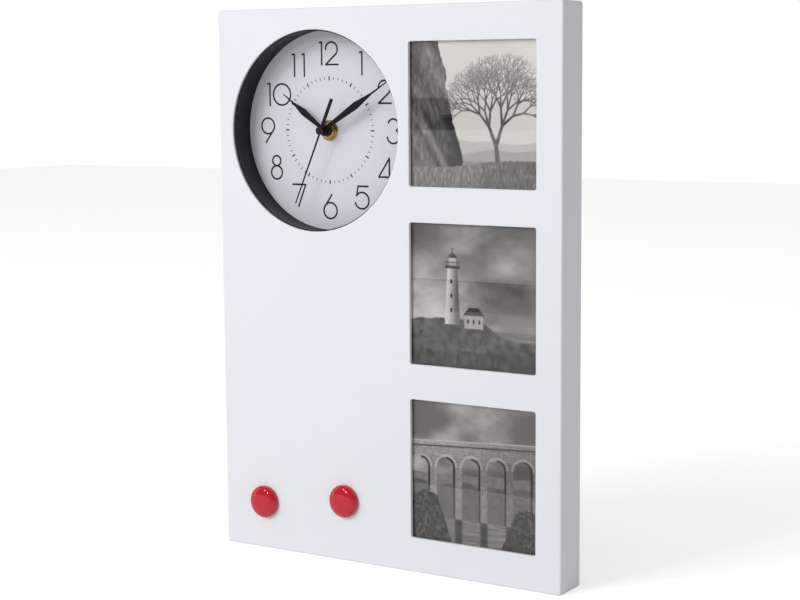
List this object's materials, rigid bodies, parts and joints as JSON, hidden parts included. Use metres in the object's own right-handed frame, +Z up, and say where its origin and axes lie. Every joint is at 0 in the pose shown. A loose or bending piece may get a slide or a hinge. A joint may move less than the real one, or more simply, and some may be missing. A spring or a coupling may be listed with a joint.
{
  "type": "photo frame clock",
  "caption": "White wall clock frame with a recessed round dial, a column of square photo windows and a small magnet board.",
  "frame": {"origin": "centre of the bottom face that the frame stands on, half way through its depth", "axes": "+Z up the frame's height, +Y from the front towards the wall, +X to the right seen from the front"},
  "size_m": [0.285, 0.046, 0.4],
  "materials": {
    "white_shell": "white moulding with a fine grain",
    "black_moulding": "satin black moulding",
    "dial_card": "matt pale card",
    "dial_ink": "matt black print",
    "hand_black": "matt black paint",
    "brass": "turned brass",
    "copper_wire": "enamelled copper wire",
    "steel": "plain steel",
    "zinc_screw": "bright zinc",
    "gear_plastic": "natural gear plastic",
    "movement_case": "black moulding",
    "rubber": "soft rubber",
    "pane": "clear pane",
    "photo_paper": "satin photo paper",
    "hardboard": "brown hardboard",
    "red_plastic": "glossy red",
    "magnet": "ferrite",
    "circuit": "green laminate",
    "battery_can": "plain battery sleeve"
  },
  "bodies": {
    "root": {"front_shell": "white_shell", "clock_cup": "black_moulding", "cup_screws": "zinc_screw", "dial": "dial_card", "minute_marks": "dial_ink", "dial_numerals": "dial_ink", "rubber_washer": "rubber", "brass_washer": "brass", "brass_nut": "brass", "movement_front_case": "movement_case", "movement_rear_case": "movement_case", "train_bridge": "gear_plastic", "stator": "steel", "coil_core": "steel", "coil_bobbin": "black_moulding", "coil_winding": "copper_wire", "stator_screws": "zinc_screw", "circuit_board": "circuit", "circuit_chip": "black_moulding", "quartz_crystal": "steel", "battery_contacts": "zinc_screw", "photo_panes": "pane", "photo_print_1": "photo_paper", "photo_print_2": "photo_paper", "photo_print_3": "photo_paper", "backing_boards": "hardboard", "turn_button_screws": "zinc_screw", "magnet_plate": "steel", "keyhole_hangers": "steel", "hanger_screws": "zinc_screw", "wall_bumpers": "rubber"},
    "minute_hand": {"minute_tube": "brass", "centre_wheel": "gear_plastic", "minute_hand": "hand_black"},
    "hour_hand": {"hour_wheel": "gear_plastic", "hour_hand": "hand_black"},
    "second_hand": {"seconds_shaft": "steel", "seconds_wheel": "gear_plastic", "second_hand": "hand_black", "second_hand_cap": "black_moulding"},
    "third_wheel": {"third_wheel": "gear_plastic"},
    "intermediate_wheel": {"intermediate_wheel": "gear_plastic"},
    "rotor": {"rotor_pinion": "gear_plastic", "rotor_magnet": "magnet"},
    "minute_wheel": {"minute_wheel": "gear_plastic"},
    "setting_knob": {"setting_arbor": "gear_plastic", "setting_knob": "gear_plastic"},
    "battery": {"battery": "battery_can"},
    "magnet_left": {"magnet_cap_left": "red_plastic", "magnet_disc_left": "magnet"},
    "magnet_right": {"magnet_cap_right": "red_plastic", "magnet_disc_right": "magnet"},
    "turn_button_1": {"turn_button_1": "black_moulding"},
    "turn_button_2": {"turn_button_2": "black_moulding"},
    "turn_button_3": {"turn_button_3": "black_moulding"},
    "turn_button_4": {"turn_button_4": "black_moulding"},
    "turn_button_5": {"turn_button_5": "black_moulding"},
    "turn_button_6": {"turn_button_6": "black_moulding"}
  },
  "joints": [
    {"name": "minute_hand_turn", "type": "hinge", "parent": "root", "child": "minute_hand", "pos_m": [-0.0584, 0, 0.3125], "axis": [0, 1, 0], "continuous": true},
    {"name": "hour_hand_turn", "type": "hinge", "parent": "root", "child": "hour_hand", "pos_m": [-0.0584, 0, 0.3125], "axis": [0, 1, 0], "continuous": true},
    {"name": "second_hand_turn", "type": "hinge", "parent": "root", "child": "second_hand", "pos_m": [-0.0584, 0, 0.3125], "axis": [0, 1, 0], "continuous": true},
    {"name": "third_wheel_turn", "type": "hinge", "parent": "root", "child": "third_wheel", "pos_m": [-0.05336, 0, 0.32123], "axis": [0, 1, 0], "continuous": true},
    {"name": "intermediate_wheel_turn", "type": "hinge", "parent": "root", "child": "intermediate_wheel", "pos_m": [-0.06713, 0, 0.31754], "axis": [0, 1, 0], "continuous": true},
    {"name": "rotor_turn", "type": "hinge", "parent": "root", "child": "rotor", "pos_m": [-0.07319, 0, 0.32104], "axis": [0, 1, 0], "continuous": true},
    {"name": "minute_wheel_turn", "type": "hinge", "parent": "root", "child": "minute_wheel", "pos_m": [-0.05, 0, 0.3125], "axis": [0, 1, 0], "continuous": true},
    {"name": "setting_knob_turn", "type": "hinge", "parent": "root", "child": "setting_knob", "pos_m": [-0.0416, 0, 0.3125], "axis": [0, 1, 0], "continuous": true},
    {"name": "battery_slide", "type": "slide", "parent": "root", "child": "battery", "axis": [0, 1, 0], "range_m": [0, 0.03]},
    {"name": "magnet_left_pull", "type": "slide", "parent": "root", "child": "magnet_left", "axis": [0, -1, 0], "range_m": [0, 0.03]},
    {"name": "magnet_right_pull", "type": "slide", "parent": "root", "child": "magnet_right", "axis": [0, -1, 0], "range_m": [0, 0.03]},
    {"name": "turn_button_1_turn", "type": "hinge", "parent": "root", "child": "turn_button_1", "pos_m": [0.0478, 0, 0.1353], "axis": [0, 1, 0], "range_deg": [-90, 90]},
    {"name": "turn_button_2_turn", "type": "hinge", "parent": "root", "child": "turn_button_2", "pos_m": [0.0978, 0, 0.0147], "axis": [0, 1, 0], "range_deg": [-90, 90]},
    {"name": "turn_button_3_turn", "type": "hinge", "parent": "root", "child": "turn_button_3", "pos_m": [0.0478, 0, 0.2603], "axis": [0, 1, 0], "range_deg": [-90, 90]},
    {"name": "turn_button_4_turn", "type": "hinge", "parent": "root", "child": "turn_button_4", "pos_m": [0.0978, 0, 0.1397], "axis": [0, 1, 0], "range_deg": [-90, 90]},
    {"name": "turn_button_5_turn", "type": "hinge", "parent": "root", "child": "turn_button_5", "pos_m": [0.0478, 0, 0.3853], "axis": [0, 1, 0], "range_deg": [-90, 90]},
    {"name": "turn_button_6_turn", "type": "hinge", "parent": "root", "child": "turn_button_6", "pos_m": [0.0978, 0, 0.2647], "axis": [0, 1, 0], "range_deg": [-90, 90]}
  ],
  "couplings": [
    {"joint": "rotor_turn", "follows": "second_hand_turn", "ratio": 30},
    {"joint": "intermediate_wheel_turn", "follows": "second_hand_turn", "ratio": -5},
    {"joint": "third_wheel_turn", "follows": "second_hand_turn", "ratio": -0.125},
    {"joint": "minute_hand_turn", "follows": "second_hand_turn", "ratio": 0.016667},
    {"joint": "minute_wheel_turn", "follows": "second_hand_turn", "ratio": -0.0055556},
    {"joint": "hour_hand_turn", "follows": "second_hand_turn", "ratio": 0.0013889},
    {"joint": "setting_knob_turn", "follows": "second_hand_turn", "ratio": 0.016667}
  ]
}
